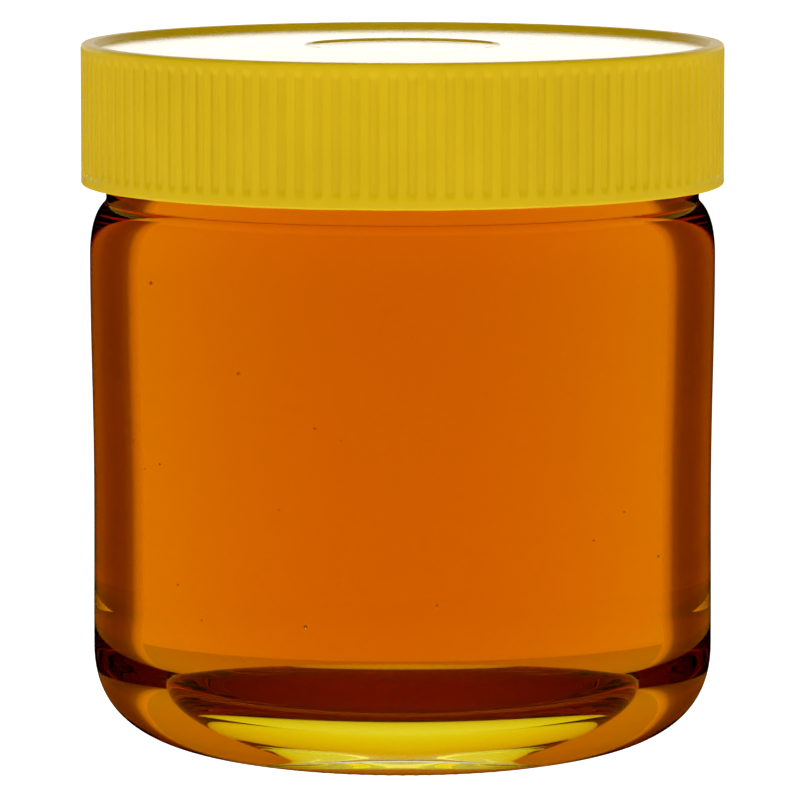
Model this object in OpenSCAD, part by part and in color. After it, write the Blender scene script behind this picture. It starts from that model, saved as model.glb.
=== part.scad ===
// Honey jar: a clear glass jar for 500 g of honey, the honey in it, and its
// yellow plastic screw lid.  Millimetres, +Z up, origin at the middle of the
// circle that the jar stands on.

/* [Sizes] */
// Height of the closed jar, from the table to the rim of the lid
total_h = 97; // [90:0.5:110]
// Diameter of the lid across its grip ribs
lid_d = 88; // [86:0.5:92]
// Height of the lid's skirt
lid_h = 19.4; // [16:0.2:22]

/* [Glass] */
// Widest diameter, just under the shoulder
shoulder_d = 85.7; // [84:0.1:87]
// Diameter at the waist of the label panel
waist_d = 84.9; // [83:0.1:86]
// Diameter where the panel meets the heel
heel_d = 85.1; // [83:0.1:86]
// Height at which the shoulder starts to turn in
shoulder_z = 67.8; // [64:0.2:69]
// Height of the waist
waist_z = 35.5; // [28:0.5:45]
// Height at which the heel starts to turn in
heel_z = 14; // [12:0.5:18]
// Outer diameter of the neck, under the lid
neck_d = 81.2; // [80:0.1:82]
// Height at which the shoulder runs into the neck
neck_z = 75.3; // [74.5:0.1:76]
// Thickness of the side wall
wall = 3; // [2:0.1:3.5]
// Height of the glass floor at the foot of its raised middle
floor_z = 7.5; // [4:0.1:8]
// Radius of the raised middle of the floor
floor_r = 25.3; // [18:0.1:28]
// Height that the middle of the floor rises
floor_rise = 4.6; // [1:0.1:8]
// Outer diameter of the ring that the jar stands on
bearing_d = 55.6; // [50:0.2:60]
// Width of that ring
bearing_w = 1.6; // [0.8:0.1:2.5]
// Height of the underside just inside the ring
step_h = 1.2; // [0.5:0.1:2]
// Height that the underside hangs lower at its middle
sag = 0.6; // [0:0.1:1.4]

/* [Honey] */
// Height of the honey's surface above the table
honey_z = 83; // [78:0.5:88]

/* [Lid] */
// Number of ribs round the skirt
rib_count = 110; // [60:1:140]
// Width of the groove between two ribs
groove_w = 1; // [0.6:0.1:1.2]
// Depth of the groove
groove_d = 0.3; // [0.2:0.05:0.6]
// Height of the plain band below the grooves
lower_band = 1.3; // [0.8:0.1:2.5]
// Height of the plain band above the grooves
upper_band = 1; // [0.8:0.1:2]
// Width of the raised rim round the top
rim_w = 2.2; // [1.5:0.1:3]
// Depth of the top panel below the rim
recess = 0.8; // [0.6:0.1:1.6]
// Height that the panel crowns towards its middle
crown = 0.5; // [0:0.05:0.8]
// Diameter of the shallow round recess in the middle of the panel
dimple_d = 26.8; // [20:0.2:32]
// Depth of that recess
dimple_depth = 0.3; // [0.1:0.05:0.4]
// Thickness of the panel at its edge
panel_t = 1.2; // [1:0.1:2]
// Clearance between the lid's skirt and the neck
lid_gap = 0.8; // [0.3:0.1:1]

/* [Hidden] */
$fn = 96;

// steps in each curved stretch of an outline
steps = 14;

lid_z = total_h - lid_h;
jar_h = total_h - recess - panel_t;

shoulder_r = shoulder_d / 2;
waist_r = waist_d / 2;
heel_r = heel_d / 2;
neck_r = neck_d / 2;
bearing_r = bearing_d / 2;
lid_r = lid_d / 2;

// the heel leaves the bearing ring at this angle and meets the panel upright
heel_angle = 14.5;
heel_toe = 2.9;
heel_rise = 12.2;
// handles of the shoulder's curve
shoulder_rise = 4.5;
neck_pull = 1.2;
neck_drop = 0.9;
// seam ring that the neck mould leaves at the foot of the neck
seam_out = 0.1;
seam_h = 0.5;
// rounded brim of the jar
brim_round = 0.9;

// inside of the jar
inner_heel_z = 18.4;
heel_pull = 6;
heel_lift = 5;
floor_power = 3.2;
bore_r = neck_r - wall;

// the slope from the bearing ring up to the underside
step_w = 7.2;
sag_power = 2.3;

// chamfer at the foot of the skirt and round at its top
skirt_chamfer = 0.4;
rim_round = 0.7;
rim_wall_slope = 0.3;

function bezier(p0, p1, p2, p3) = [
    for (i = [0 : steps])
        let (t = i / steps, s = 1 - t)
            s * s * s * p0 + 3 * s * s * t * p1 + 3 * s * t * t * p2 + t * t * t * p3
];

// a curve without its first point
function arc_rest(points) = [for (i = [1 : len(points) - 1]) points[i]];

// a smooth run from one radius to another between two heights
function taper(r0, z0, r1, z1) = [
    for (i = [1 : steps - 1])
        let (t = i / steps)
            [r0 + (r1 - r0) * (1 - cos(180 * t)) / 2, z0 + (z1 - z0) * t]
];

// quarter round of radius r about [cx, cz], from angle a0 to angle a1
function quarter(cx, cz, r, a0, a1) = [
    for (i = [0 : 6])
        let (a = a0 + (a1 - a0) * i / 6)
            [cx + r * cos(a), cz + r * sin(a)]
];

// a dome from the middle out to radius r at height z, h high at the middle;
// a larger power makes a flatter top and steeper sides
function dome(r, h, z, power) = [
    for (i = [0 : steps])
        let (x = r * i / steps)
            [x, z + h * (1 - pow(x / r, power))]
];

heel_curve = bezier(
    [bearing_r, 0],
    [bearing_r + heel_toe * cos(heel_angle), heel_toe * sin(heel_angle)],
    [heel_r, heel_z - heel_rise],
    [heel_r, heel_z]);

shoulder_curve = bezier(
    [shoulder_r, shoulder_z],
    [shoulder_r, shoulder_z + shoulder_rise],
    [neck_r + neck_pull, neck_z - neck_drop],
    [neck_r + seam_out, neck_z]);

glass_outside = concat(
    heel_curve,
    taper(heel_r, heel_z, waist_r, waist_z),
    [[waist_r, waist_z]],
    taper(waist_r, waist_z, shoulder_r, shoulder_z),
    shoulder_curve,
    [[neck_r + seam_out, neck_z + seam_h], [neck_r, neck_z + seam_h + seam_out]],
    quarter(neck_r - brim_round, jar_h - brim_round, brim_round, 0, 90));

// from the middle of the base up to the foot of the neck's bore
glass_inside = concat(
    dome(floor_r, floor_rise, floor_z, floor_power),
    arc_rest(bezier(
        [floor_r, floor_z],
        [heel_r - wall - heel_pull, floor_z],
        [heel_r - wall, floor_z + heel_lift],
        [heel_r - wall, inner_heel_z])),
    [[waist_r - wall, waist_z]],
    bezier(
        [shoulder_r - wall, shoulder_z - 1],
        [shoulder_r - wall, shoulder_z + shoulder_rise],
        [bore_r, neck_z - shoulder_rise],
        [bore_r, neck_z + 1]));

glass_underside = concat(
    dome(bearing_r - bearing_w - step_w, -sag, step_h, sag_power),
    [[bearing_r - bearing_w, 0]]);

module jar() {
    brim_in = quarter(bore_r + brim_round, jar_h - brim_round, brim_round, 90, 180);
    inside_down = [for (i = [len(glass_inside) - 1 : -1 : 0]) glass_inside[i]];
    color([0.86, 0.93, 0.88, 0.45])
        rotate_extrude()
            polygon(concat(glass_underside, glass_outside, brim_in, inside_down));
}

module honey() {
    color([0.82, 0.36, 0.02])
        rotate_extrude()
            polygon(concat(glass_inside, [[bore_r, honey_z], [0, honey_z]]));
}

module lid_shell() {
    rim_in = lid_r - rim_w;
    panel_z = total_h - recess;
    dimple_r = dimple_d / 2;
    dimple_z = panel_z + crown * (1 - pow(dimple_r / rim_in, 2));
    panel = [
        for (i = [0 : steps])
            let (x = rim_in + (dimple_r - rim_in) * i / steps)
                [x, panel_z + crown * (1 - pow(x / rim_in, 2))]
    ];
    rotate_extrude()
        polygon(concat(
            [[0, dimple_z - dimple_depth], [0, jar_h], [neck_r + lid_gap, jar_h]],
            [[neck_r + lid_gap, lid_z], [lid_r - skirt_chamfer, lid_z]],
            [[lid_r, lid_z + skirt_chamfer]],
            quarter(lid_r - rim_round, total_h - rim_round, rim_round, 0, 90),
            [[rim_in + rim_wall_slope, total_h]],
            panel,
            [[dimple_r, dimple_z - dimple_depth]]));
}

module groove() {
    groove_z = lid_z + lower_band;
    groove_h = lid_h - lower_band - upper_band;
    translate([lid_r - groove_d, -groove_w / 2, groove_z])
        cube([lid_d, groove_w, groove_h]);
}

module lid() {
    color([0.85, 0.7, 0.12])
        difference() {
            lid_shell();
            for (i = [0 : rib_count - 1])
                rotate(i * 360 / rib_count)
                    groove();
        }
}

jar();
honey();
lid();
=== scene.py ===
# A 500 g jar of honey with a yellow screw lid, put together in the order of the real one:
# the glass jar, the honey with its few air bubbles, and the lid that closes it.
import bpy
import math
import random
import numpy as np
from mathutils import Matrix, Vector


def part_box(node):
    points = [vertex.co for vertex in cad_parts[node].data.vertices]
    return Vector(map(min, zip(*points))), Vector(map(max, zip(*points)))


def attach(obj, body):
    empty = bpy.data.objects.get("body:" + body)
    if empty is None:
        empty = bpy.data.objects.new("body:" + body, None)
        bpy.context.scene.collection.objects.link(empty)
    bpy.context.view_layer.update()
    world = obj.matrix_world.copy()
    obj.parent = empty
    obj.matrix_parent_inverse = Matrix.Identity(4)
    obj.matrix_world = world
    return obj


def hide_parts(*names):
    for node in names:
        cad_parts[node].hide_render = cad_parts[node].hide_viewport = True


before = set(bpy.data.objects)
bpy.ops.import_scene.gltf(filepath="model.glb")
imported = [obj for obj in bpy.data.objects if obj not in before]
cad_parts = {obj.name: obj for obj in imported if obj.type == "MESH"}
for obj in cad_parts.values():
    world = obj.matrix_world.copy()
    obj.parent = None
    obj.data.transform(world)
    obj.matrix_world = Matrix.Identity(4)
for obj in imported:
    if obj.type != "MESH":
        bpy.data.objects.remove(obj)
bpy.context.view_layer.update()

# --- The glass jar -----------------------------------------------------------
# One piece of clear soda-lime glass, blown and pressed in a two-part mould: a thick
# base, raised inside, on a narrow knurled ring, a rounded heel, a label panel drawn
# in a little at its waist, a shoulder, and a neck that goes up into the lid.
MM = 0.001
JAR_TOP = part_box("jar")[1][2]
HONEY_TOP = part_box("honey")[1][2]
RING_R = 27.8 * MM
RING_W = 1.6 * MM
HEEL_R = 42.52 * MM
HEEL_Z = 14.0 * MM
WAIST_R = 42.44 * MM
WAIST_Z = 35.5 * MM
SHOULDER_R = 42.86 * MM
SHOULDER_Z = 67.8 * MM
NECK_R = 40.6 * MM
NECK_Z = 75.3 * MM
SEAM = 0.1 * MM
WALL = 3.0 * MM
BORE_R = NECK_R - WALL
BRIM = 0.9 * MM
UNDER_R = 19.0 * MM
UNDER_SAG = 0.6 * MM
UNDER_POWER = 2.3
STEP_H = 1.2 * MM
FLOOR_R = 25.3 * MM
FLOOR_H = 4.6 * MM
FLOOR_POWER = 3.2
FLOOR_Z = 7.5 * MM
FLOOR_PULL = 6.0 * MM
FLOOR_RISE = 5.0 * MM
WALL_FOOT_Z = 18.4 * MM
# How the heel leaves the ring, and how far the curves of heel and shoulder are pulled.
HEEL_TOE = 2.9 * MM
HEEL_ANGLE = math.radians(14.5)
HEEL_DROP = 12.2 * MM
SHOULDER_PULL = 4.5 * MM
NECK_PULL = 1.2 * MM
NECK_DROP = 0.9 * MM


def curve(p0, p1, p2, p3, steps):
    """Points along a cubic curve with these four control points."""
    points = []
    for i in range(steps + 1):
        t = i / steps
        s = 1 - t
        points.append(tuple(
            s ** 3 * a + 3 * s * s * t * b + 3 * s * t * t * c + t ** 3 * d
            for a, b, c, d in zip(p0, p1, p2, p3)))
    return points


def ease(r0, z0, r1, z1, steps):
    """A smooth run of the wall from one radius to another, without its two ends."""
    points = []
    for i in range(1, steps):
        t = i / steps
        points.append((r0 + (r1 - r0) * (1 - math.cos(math.pi * t)) / 2, z0 + (z1 - z0) * t))
    return points


def dome(radius, height, foot, power, steps):
    """A dome from its middle out to, but not with, its edge."""
    points = []
    for i in range(steps):
        x = i / steps
        points.append((radius * x, foot + height * (1 - x ** power)))
    return points


def ring(r, z, sides):
    """One level ring of points round the jar's axis, or one point on it."""
    if r < 1e-7:
        return [(0.0, 0.0, z)]
    turn = 2 * math.pi / sides
    return [(r * math.cos(turn * k), r * math.sin(turn * k), z) for k in range(sides)]


def skin(name, rings, sharp=35):
    """A piece whose surface runs from each ring of points to the next."""
    verts = []
    index = []
    for points in rings:
        index.append(range(len(verts), len(verts) + len(points)))
        verts += points
    faces = []
    for low, high in zip(index, index[1:]):
        sides = max(len(low), len(high))
        for k in range(sides):
            n = (k + 1) % sides
            if len(low) == 1:
                faces.append((low[0], high[n], high[k]))
            elif len(high) == 1:
                faces.append((low[k], low[n], high[0]))
            else:
                faces.append((low[k], low[n], high[n], high[k]))
    mesh = bpy.data.meshes.new(name)
    mesh.from_pydata(verts, [], faces)
    mesh.update()
    mesh.shade_smooth()
    mesh.set_sharp_from_angle(angle=math.radians(sharp))
    piece = bpy.data.objects.new(name, mesh)
    bpy.context.scene.collection.objects.link(piece)
    return piece


heel_toe = (HEEL_TOE * math.cos(HEEL_ANGLE), HEEL_TOE * math.sin(HEEL_ANGLE))
heel = curve(
    (RING_R, 0.0),
    (RING_R + heel_toe[0], heel_toe[1]),
    (HEEL_R, HEEL_Z - HEEL_DROP),
    (HEEL_R, HEEL_Z), 40)
shoulder = curve(
    (SHOULDER_R, SHOULDER_Z),
    (SHOULDER_R, SHOULDER_Z + SHOULDER_PULL),
    (NECK_R + NECK_PULL, NECK_Z - NECK_DROP),
    (NECK_R, NECK_Z), 24)
seam_ring = [
    (NECK_R + SEAM * math.sin(math.radians(a)), NECK_Z + SEAM - SEAM * math.cos(math.radians(a)))
    for a in range(30, 181, 30)]
underside = dome(UNDER_R, -UNDER_SAG, STEP_H, UNDER_POWER, 40) + [(UNDER_R, STEP_H), (RING_R - RING_W, 0.0)]
outside = (
    heel
    + ease(HEEL_R, HEEL_Z, WAIST_R, WAIST_Z, 12)
    + [(WAIST_R, WAIST_Z)]
    + ease(WAIST_R, WAIST_Z, SHOULDER_R, SHOULDER_Z, 16)
    + shoulder
    + seam_ring
    + [(NECK_R, JAR_TOP - BRIM), (NECK_R - 0.3 * BRIM, JAR_TOP - 0.25 * BRIM), (NECK_R - BRIM, JAR_TOP)])
inside = (
    dome(FLOOR_R, FLOOR_H, FLOOR_Z, FLOOR_POWER, 24)
    + curve(
        (FLOOR_R, FLOOR_Z),
        (HEEL_R - WALL - FLOOR_PULL, FLOOR_Z),
        (HEEL_R - WALL, FLOOR_Z + FLOOR_RISE),
        (HEEL_R - WALL, WALL_FOOT_Z), 32)
    + [(WAIST_R - WALL, WAIST_Z)]
    + curve(
        (SHOULDER_R - WALL, SHOULDER_Z - 1 * MM),
        (SHOULDER_R - WALL, SHOULDER_Z + SHOULDER_PULL),
        (BORE_R, NECK_Z - SHOULDER_PULL),
        (BORE_R, NECK_Z + 1 * MM), 20)
    + [(BORE_R, HONEY_TOP)])
brim = [(BORE_R + BRIM, JAR_TOP), (BORE_R + 0.3 * BRIM, JAR_TOP - 0.25 * BRIM), (BORE_R, JAR_TOP - BRIM)]
JAR_SIDES = 288
dry = underside + outside + brim
jar = skin("jar_glass", [ring(r, z, JAR_SIDES) for r, z in dry + inside[::-1]])

# The knurls of the ring that the jar stands on, and the mould's plain round dots
# under the base, are pressed into the finished outline.
KNURLS = 96
KNURL_H = 0.07 * MM
KNURL_TOP = 0.12 * MM
DOTS = 22
DOT_RING_R = 15.5 * MM
DOT_R = 0.9 * MM
DOT_H = 0.22 * MM
for vertex in jar.data.vertices[:(len(underside) + 3) * JAR_SIDES]:
    x, y, z = vertex.co
    r = math.hypot(x, y)
    turn = math.atan2(y, x)
    if z < KNURL_TOP and r > UNDER_R:
        vertex.co.z = z + KNURL_H * (0.5 - 0.5 * math.cos(KNURLS * turn))
    near = round(turn * DOTS / (2 * math.pi)) * 2 * math.pi / DOTS
    away = math.hypot(x - DOT_RING_R * math.cos(near), y - DOT_RING_R * math.sin(near))
    if away < DOT_R:
        vertex.co.z = z - DOT_H * (0.5 + 0.5 * math.cos(math.pi * away / DOT_R))
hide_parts("jar")
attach(jar, "root")


def clear(name, ior, colour=(1, 1, 1, 1)):
    """Clear stuff that light goes straight through."""
    made = bpy.data.materials.new(name)
    made.use_nodes = True
    shader = made.node_tree.nodes["Principled BSDF"]
    shader.inputs["Base Color"].default_value = colour
    shader.inputs["Roughness"].default_value = 0.0
    shader.inputs["Transmission Weight"].default_value = 1.0
    shader.inputs["IOR"].default_value = ior
    return made


# Where the honey wets the glass, light goes from one to the other, so the inside
# below the honey's level bends it by the ratio of the two.
GLASS_IOR = 1.52
HONEY_IOR = 1.49
jar.data.materials.append(clear("clear_glass", GLASS_IOR, (0.985, 1.0, 0.985, 1)))
jar.data.materials.append(clear("glass_wetted_by_honey", GLASS_IOR / HONEY_IOR))
for face in jar.data.polygons[len(dry) * JAR_SIDES:]:
    face.material_index = 1

# --- The honey ---------------------------------------------------------------
# Clear runny honey, poured warm to just above the lid's edge. It is deep orange
# through the whole jar and golden where it is thin, so its colour is all in the
# depth that light goes through.
BITE = 0.15 * MM


def grown(outline, by):
    """The outline moved outwards by this much."""
    points = np.array(outline)
    along = np.gradient(points, axis=0)
    out = np.stack([along[:, 1], -along[:, 0]], axis=1)
    out /= np.linalg.norm(out, axis=1)[:, None]
    moved = points + out * by
    moved[points[:, 0] < 1e-7, 0] = 0.0
    return [tuple(p) for p in moved]


honey_side = grown(inside[:-1], BITE) + [(BORE_R + BITE, HONEY_TOP)]
honey_face = [(20 * MM, HONEY_TOP), (0.0, HONEY_TOP)]
honey = skin("honey_body", [ring(r, z, JAR_SIDES) for r, z in honey_side + honey_face])
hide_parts("honey")
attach(honey, "root")
amber = clear("honey", 1.0)
soak = amber.node_tree.nodes.new("ShaderNodeVolumeAbsorption")
soak.inputs["Color"].default_value = (0.980, 0.925, 0.0, 1)
soak.inputs["Density"].default_value = 400.0
amber.node_tree.links.new(soak.outputs["Volume"], amber.node_tree.nodes["Material Output"].inputs["Volume"])
honey.data.materials.append(amber)

# --- The air bubbles ---------------------------------------------------------
# A few fine bubbles that were stirred in at filling and hang in the thick honey,
# most of them close to the glass. They are joined into one piece.
random.seed(7)
BUBBLES = 46
bubble_verts = []
bubble_faces = []
BUBBLE_SIDES = 12
BUBBLE_ROWS = 8
for b in range(BUBBLES):
    around = random.uniform(0, 2 * math.pi)
    up = random.uniform(WALL_FOOT_Z, SHOULDER_Z)
    out = HEEL_R - WALL - random.choice((0.6, 0.9, 1.6, 3.0, 8.0)) * MM
    size = random.choice((0.10, 0.12, 0.15, 0.18, 0.24)) * MM
    middle = (out * math.cos(around), out * math.sin(around), up)
    start = len(bubble_verts)
    bubble_verts.append((middle[0], middle[1], middle[2] - size))
    for row in range(1, BUBBLE_ROWS):
        tilt = math.pi * row / BUBBLE_ROWS
        for k in range(BUBBLE_SIDES):
            a = 2 * math.pi * k / BUBBLE_SIDES
            bubble_verts.append((
                middle[0] + size * math.sin(tilt) * math.cos(a),
                middle[1] + size * math.sin(tilt) * math.sin(a),
                middle[2] - size * math.cos(tilt)))
    bubble_verts.append((middle[0], middle[1], middle[2] + size))
    last = len(bubble_verts) - 1
    for k in range(BUBBLE_SIDES):
        n = (k + 1) % BUBBLE_SIDES
        bubble_faces.append((start, start + 1 + n, start + 1 + k))
        for row in range(BUBBLE_ROWS - 2):
            low = start + 1 + row * BUBBLE_SIDES
            bubble_faces.append((low + k, low + n, low + n + BUBBLE_SIDES, low + k + BUBBLE_SIDES))
        top = start + 1 + (BUBBLE_ROWS - 2) * BUBBLE_SIDES
        bubble_faces.append((top + k, top + n, last))
bubble_mesh = bpy.data.meshes.new("honey_bubbles")
bubble_mesh.from_pydata(bubble_verts, [], bubble_faces)
bubble_mesh.shade_smooth()
bubble_mesh.materials.append(clear("air_in_honey", 1 / HONEY_IOR))
bubbles = bpy.data.objects.new("honey_bubbles", bubble_mesh)
bpy.context.scene.collection.objects.link(bubbles)
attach(bubbles, "root")

# --- The lid -----------------------------------------------------------------
# An 88 mm screw lid, injection moulded in golden yellow polypropylene. Its skirt
# has 110 flat grip bars between shallow grooves, its top is a smooth panel set
# down inside a rim, with a shallow round recess in the middle.
LID_R = 44.0 * MM
LID_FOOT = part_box("lid")[0][2]
LID_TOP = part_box("lid")[1][2]
RIM_R = LID_R - 2.2 * MM
RIM_ROUND = 0.55 * MM
PANEL_Z = LID_TOP - 0.8 * MM
PANEL_CROWN = 0.5 * MM
RECESS_R = 13.4 * MM
RECESS_H = 0.3 * MM
SKIRT_IN_R = NECK_R + 0.8 * MM
SKIRT_ROUND = 0.45 * MM
CEILING_ROUND = 0.6 * MM
RIM_IN_ROUND = 0.25 * MM
RECESS_ROUND = 0.15 * MM
BARS = 110
GROOVE_D = 0.3 * MM
GROOVE_FOOT = LID_FOOT + 1.3 * MM
GROOVE_TOP = LID_TOP - 1.0 * MM
GROOVE_END = 1.2 * MM
# Places across one bar and its groove, in parts of the pitch, and how deep each is.
ACROSS = [
    (0.00, 1.0), (0.15, 1.0), (0.20, 0.85), (0.24, 0.45), (0.28, 0.12), (0.33, 0.0),
    (0.50, 0.0), (0.67, 0.0), (0.72, 0.12), (0.76, 0.45), (0.80, 0.85), (0.85, 1.0)]


def rib_ring(r, z, grooved):
    """A ring of the lid's skin, cut in by the grooves as far as grooved says."""
    points = []
    for bar in range(BARS):
        for place, deep in ACROSS:
            a = 2 * math.pi * (bar + place) / BARS
            cut = r - GROOVE_D * grooved * deep
            points.append((cut * math.cos(a), cut * math.sin(a), z))
    return points


def panel_z(r):
    """Height of the crowned panel at this radius."""
    return PANEL_Z + PANEL_CROWN * (1 - (r / RIM_R) ** 2)


def rounded(r, z, radius, start, end, steps):
    """A round corner about (r, z), from one angle to another in degrees."""
    points = []
    for i in range(steps + 1):
        a = math.radians(start + (end - start) * i / steps)
        points.append((r + radius * math.cos(a), z + radius * math.sin(a)))
    return points


# From the ceiling over the jar's brim, down inside the skirt, up its outside and
# over the rim to the middle of the panel: radius, height, share of the groove.
section = [(0.0, JAR_TOP, 0), (15 * MM, JAR_TOP, 0), (30 * MM, JAR_TOP, 0)]
section += [(r, z, 0) for r, z in rounded(SKIRT_IN_R - CEILING_ROUND, JAR_TOP - CEILING_ROUND, CEILING_ROUND, 90, 0, 4)]
section += [(SKIRT_IN_R, LID_FOOT + 0.3 * MM, 0), (SKIRT_IN_R + 0.3 * MM, LID_FOOT, 0)]
section += [(r, z, 0) for r, z in rounded(LID_R - SKIRT_ROUND, LID_FOOT + SKIRT_ROUND, SKIRT_ROUND, 270, 360, 5)]
section += [(LID_R, GROOVE_FOOT - 0.3 * MM, 0), (LID_R, GROOVE_FOOT, 0)]
section += [(LID_R, GROOVE_FOOT + GROOVE_END * t, s) for t, s in ((0.35, 0.2), (0.7, 0.8), (1.0, 1.0), (1.4, 1.0))]
section += [(LID_R, GROOVE_FOOT + (GROOVE_TOP - GROOVE_FOOT) * t, 1) for t in (0.25, 0.5, 0.75)]
section += [(LID_R, GROOVE_TOP - GROOVE_END * t, s) for t, s in ((1.4, 1.0), (1.0, 1.0), (0.7, 0.8), (0.35, 0.2))]
section += [(LID_R, GROOVE_TOP, 0)]
section += [(r, z, 0) for r, z in rounded(LID_R - RIM_ROUND, LID_TOP - RIM_ROUND, RIM_ROUND, 0, 90, 7)]
section += [(r, z, 0) for r, z in rounded(RIM_R + RIM_ROUND, LID_TOP - RIM_IN_ROUND, RIM_IN_ROUND, 90, 170, 4)]
section += [(RIM_R + 0.08 * MM, PANEL_Z + 0.12 * MM, 0), (RIM_R, PANEL_Z + 0.01 * MM, 0)]
top_start = len(section)
section += [(r * MM, panel_z(r * MM), 0) for r in (41.2, 39, 36, 32, 28, 24, 20, 16.5, 14.2)]
section += [
    (r, z, 0) for r, z in rounded(
        RECESS_R + RECESS_ROUND, panel_z(RECESS_R) - RECESS_ROUND, RECESS_ROUND, 90, 180, 3)]
section += [(RECESS_R - RECESS_ROUND, panel_z(RECESS_R) - RECESS_H, 0)]
section += [(r * MM, panel_z(RECESS_R) - RECESS_H, 0) for r in (11, 8, 4)]
lid_rings = [rib_ring(r, z, g) if r > 0 else [(0.0, 0.0, z)] for r, z, g in section]
lid_rings.append([(0.0, 0.0, panel_z(RECESS_R) - RECESS_H)])
lid = skin("screw_lid", lid_rings, 50)
# The lower edge is where the mould parts, so it isn't quite even.
random.seed(3)
wobble = [(random.uniform(5, 60), random.uniform(0, 2 * math.pi), random.uniform(0.3, 1.0)) for _ in range(14)]
for vertex in lid.data.vertices:
    r = math.hypot(vertex.co.x, vertex.co.y)
    low = 1 - (vertex.co.z - LID_FOOT) / (0.3 * MM)
    if low > 0:
        a = math.atan2(vertex.co.y, vertex.co.x)
        rough = sum(w * (0.5 + 0.5 * math.sin(round(f) * a + p)) for f, p, w in wobble) / len(wobble)
        vertex.co.z += 0.16 * MM * low * rough
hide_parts("lid")
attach(lid, "root")


def plastic(name, rough, gloss, grain):
    """The lid's yellow plastic, faintly mottled, with this roughness, gloss and depth of grain."""
    made = bpy.data.materials.new(name)
    made.use_nodes = True
    nodes = made.node_tree.nodes
    links = made.node_tree.links
    shader = nodes["Principled BSDF"]
    shader.inputs["IOR"].default_value = 1.49
    shader.inputs["Specular IOR Level"].default_value = gloss
    shader.inputs["Subsurface Weight"].default_value = 0.12
    shader.inputs["Subsurface Radius"].default_value = (1.0, 0.7, 0.1)
    shader.inputs["Subsurface Scale"].default_value = 0.6 * MM
    place = nodes.new("ShaderNodeTexCoord")
    mottle = nodes.new("ShaderNodeTexNoise")
    mottle.inputs["Scale"].default_value = 90.0
    mottle.inputs["Detail"].default_value = 4.0
    links.new(place.outputs["Object"], mottle.inputs["Vector"])
    tint = nodes.new("ShaderNodeValToRGB")
    tint.color_ramp.elements[0].position = 0.3
    tint.color_ramp.elements[0].color = (0.69, 0.458, 0.002, 1)
    tint.color_ramp.elements[1].position = 0.7
    tint.color_ramp.elements[1].color = (0.73, 0.488, 0.003, 1)
    links.new(mottle.outputs["Fac"], tint.inputs["Fac"])
    links.new(tint.outputs["Color"], shader.inputs["Base Color"])
    polish = nodes.new("ShaderNodeTexNoise")
    polish.inputs["Scale"].default_value = 260.0
    polish.inputs["Detail"].default_value = 3.0
    links.new(place.outputs["Object"], polish.inputs["Vector"])
    worn = nodes.new("ShaderNodeMapRange")
    worn.inputs["To Min"].default_value = rough - 0.05
    worn.inputs["To Max"].default_value = rough + 0.07
    links.new(polish.outputs["Fac"], worn.inputs["Value"])
    links.new(worn.outputs["Result"], shader.inputs["Roughness"])
    fine = nodes.new("ShaderNodeTexNoise")
    fine.inputs["Scale"].default_value = 2600.0
    fine.inputs["Detail"].default_value = 2.0
    links.new(place.outputs["Object"], fine.inputs["Vector"])
    relief = nodes.new("ShaderNodeBump")
    relief.inputs["Strength"].default_value = 0.5
    relief.inputs["Distance"].default_value = grain
    links.new(fine.outputs["Fac"], relief.inputs["Height"])
    links.new(relief.outputs["Normal"], shader.inputs["Normal"])
    return made


lid.data.materials.append(plastic("lid_satin", 0.38, 0.12, 0.012 * MM))
lid.data.materials.append(plastic("lid_top_polished", 0.13, 0.3, 0.003 * MM))
for face in lid.data.polygons[top_start * BARS * len(ACROSS):]:
    face.material_index = 1

# --- The table ---------------------------------------------------------------
# A wide white light table. It shines through the honey from all sides, and the
# glass doesn't mirror it.


def glow(name, colour, strength):
    """A matt surface that also gives light of its own."""
    made = bpy.data.materials.new(name)
    made.use_nodes = True
    shader = made.node_tree.nodes["Principled BSDF"]
    shader.inputs["Base Color"].default_value = colour
    shader.inputs["Roughness"].default_value = 0.9
    shader.inputs["Specular IOR Level"].default_value = 0.0
    shader.inputs["Emission Color"].default_value = (1, 1, 1, 1)
    shader.inputs["Emission Strength"].default_value = strength
    return made


TABLE = 6.0
table_mesh = bpy.data.meshes.new("table")
table_mesh.from_pydata(
    [(-TABLE, -TABLE, 0), (TABLE, -TABLE, 0), (TABLE, TABLE, 0), (-TABLE, TABLE, 0)], [], [(0, 1, 2, 3)])
table_mesh.materials.append(glow("table", (0.8, 0.8, 0.8, 1), 1.18))
table = bpy.data.objects.new("table", table_mesh)
bpy.context.scene.collection.objects.link(table)
table.visible_glossy = False

# Two curved boards stand behind the jar, one on each side, and glow with painted shade and painted light,
# which draw the dark brown edges of the honey. Only light that comes through the jar meets them.
BOARD_R = 0.105
BOARD_H = 0.15
BOARD_FROM = 24
BOARD_TO = 66
board_verts = []
board_faces = []
for side in (-1, 1):
    start = len(board_verts)
    for degree in range(BOARD_FROM, BOARD_TO + 1):
        a = math.radians(degree)
        x = side * BOARD_R * math.sin(a)
        y = BOARD_R * math.cos(a)
        board_verts += [(x, y, 0.001), (x, y, BOARD_H)]
    for i in range(BOARD_TO - BOARD_FROM):
        low = start + 2 * i
        board_faces.append((low, low + 2, low + 3, low + 1))
board_mesh = bpy.data.meshes.new("painted_shade_boards")
board_mesh.from_pydata(board_verts, [], board_faces)
painted_shade_look = bpy.data.materials.new("painted_shade_board")
painted_shade_look.use_nodes = True
nodes = painted_shade_look.node_tree.nodes
links = painted_shade_look.node_tree.links
nodes.remove(nodes["Principled BSDF"])
place = nodes.new("ShaderNodeTexCoord")
parts = nodes.new("ShaderNodeSeparateXYZ")
links.new(place.outputs["Object"], parts.inputs[0])
width = nodes.new("ShaderNodeMath")
width.operation = "ABSOLUTE"
links.new(parts.outputs["X"], width.inputs[0])
turn = nodes.new("ShaderNodeMath")
turn.operation = "ARCTAN2"
links.new(width.outputs[0], turn.inputs[0])
links.new(parts.outputs["Y"], turn.inputs[1])
share = nodes.new("ShaderNodeMapRange")
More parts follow.
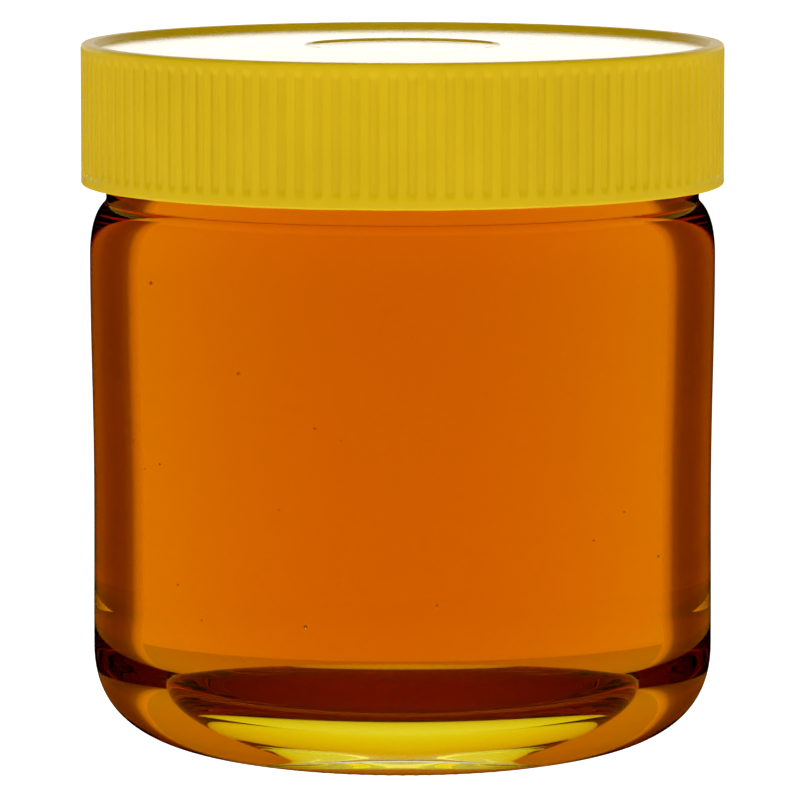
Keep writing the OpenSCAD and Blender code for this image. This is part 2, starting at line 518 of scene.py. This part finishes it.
share.inputs["From Min"].default_value = math.radians(BOARD_FROM)
share.inputs["From Max"].default_value = math.radians(BOARD_TO)
links.new(turn.outputs[0], share.inputs["Value"])
painted_shade_ramp = nodes.new("ShaderNodeValToRGB")
ramp = painted_shade_ramp.color_ramp
# Painted light and painted shade by the angle round the jar: a bright edge, then dark brown, paler again further out.
BOARD_PAINTED_SHADE = [
    (24.0, (1.25, 1.2, 1.15)), (26.0, (1.0, 0.85, 0.7)), (28.0, (0.44, 0.30, 0.18)), (31.0, (0.30, 0.16, 0.06)),
    (36.0, (0.27, 0.14, 0.05)), (42.0, (0.36, 0.20, 0.08)), (47.0, (0.55, 0.38, 0.2)), (54.0, (0.8, 0.65, 0.4))]
while len(ramp.elements) < len(BOARD_PAINTED_SHADE):
    ramp.elements.new(0.5)
for element, (degree, colour) in zip(ramp.elements, BOARD_PAINTED_SHADE):
    element.position = (degree - BOARD_FROM) / (BOARD_TO - BOARD_FROM)
    element.color = (*colour, 1)
links.new(share.outputs["Result"], painted_shade_ramp.inputs["Fac"])
# The boards give out these painted shades as light of their own.
shine = nodes.new("ShaderNodeEmission")
links.new(painted_shade_ramp.outputs["Color"], shine.inputs["Color"])
links.new(shine.outputs[0], nodes["Material Output"].inputs["Surface"])
board_mesh.materials.append(painted_shade_look)
boards = bpy.data.objects.new("painted_shade_boards", board_mesh)
bpy.context.scene.collection.objects.link(boards)
boards.visible_camera = False
boards.visible_diffuse = False
boards.visible_shadow = False
boards.visible_glossy = False

# --- The light ---------------------------------------------------------------
# A pale studio, brighter overhead, that shines through the glass and the honey and
# isn't mirrored. A softbox on each side of the camera lights the front of the lid,
# one behind the jar shines on its top, and one overhead fills it in.
WALL_LIGHT = 0.92
CEILING_LIGHT = 1.2
FRONT_SHARE = 0.9
world = bpy.data.worlds.new("studio")
bpy.context.scene.world = world
world.use_nodes = True
nodes = world.node_tree.nodes
links = world.node_tree.links
place = nodes.new("ShaderNodeTexCoord")
parts = nodes.new("ShaderNodeSeparateXYZ")
links.new(place.outputs["Generated"], parts.inputs[0])
height = nodes.new("ShaderNodeMapRange")
height.interpolation_type = "SMOOTHSTEP"
height.inputs["From Min"].default_value = math.sin(math.radians(30))
height.inputs["From Max"].default_value = math.sin(math.radians(45))
height.inputs["To Min"].default_value = WALL_LIGHT
height.inputs["To Max"].default_value = CEILING_LIGHT
links.new(parts.outputs["Z"], height.inputs["Value"])
depth = nodes.new("ShaderNodeMapRange")
depth.interpolation_type = "SMOOTHSTEP"
depth.inputs["From Min"].default_value = -0.4
depth.inputs["From Max"].default_value = 0.3
depth.inputs["To Min"].default_value = FRONT_SHARE
depth.inputs["To Max"].default_value = 1.0
links.new(parts.outputs["Y"], depth.inputs["Value"])
both = nodes.new("ShaderNodeMath")
both.operation = "MULTIPLY"
links.new(height.outputs["Result"], both.inputs[0])
links.new(depth.outputs["Result"], both.inputs[1])
links.new(both.outputs[0], nodes["Background"].inputs["Strength"])
nodes["Background"].inputs["Color"].default_value = (1, 1, 1, 1)
world.cycles_visibility.diffuse = False
world.cycles_visibility.glossy = False


def softbox(name, place, size, watts):
    """A flat lamp of this width and height that faces the jar."""
    data = bpy.data.lights.new(name, "AREA")
    data.shape = "RECTANGLE"
    data.size = size[0]
    data.size_y = size[1]
    data.energy = watts
    lamp = bpy.data.objects.new(name, data)
    lamp.location = place
    aim = math.hypot(place[0], place[1])
    lamp.rotation_euler = (math.atan2(aim, place[2] - 0.05), 0, math.atan2(place[0], -place[1]))
    bpy.context.scene.collection.objects.link(lamp)
    lamp.visible_transmission = False
    lamp.visible_camera = False
    return lamp


for side in (-1, 1):
    softbox("side_box", (side * 0.98, -0.72, 0.45), (0.5, 0.9), 4.5).visible_glossy = False
back_box = softbox("back_box", (0, 1.7, 0.45), (3.2, 0.8), 13.0)
top_box = softbox("top_box", (0, 0, 1.2), (0.6, 0.6), 4.3)
top_box.visible_glossy = False
lid_only = bpy.data.collections.new("lid_only")
lid_only.objects.link(lid)
back_box.light_linking.receiver_collection = lid_only
top_box.light_linking.receiver_collection = lid_only

# --- The camera --------------------------------------------------------------
# A long lens a metre in front, a little above the jar and looking down at it.
lens = bpy.data.cameras.new("camera")
lens.sensor_width = 36.0
lens.lens = 329.4
lens.shift_x = -0.0032
camera = bpy.data.objects.new("camera", lens)
camera.location = (0, -1.0, 0.1625)
camera.rotation_euler = (math.radians(90 - 6.55), 0, 0)
bpy.context.scene.collection.objects.link(camera)
bpy.context.scene.camera = camera
bpy.context.scene.view_settings.view_transform = "Standard"
# Light crosses up to a dozen walls of glass and honey before it is out of the base.
bpy.context.scene.cycles.max_bounces = 32
bpy.context.scene.cycles.transmission_bounces = 32
bpy.context.scene.cycles.glossy_bounces = 12
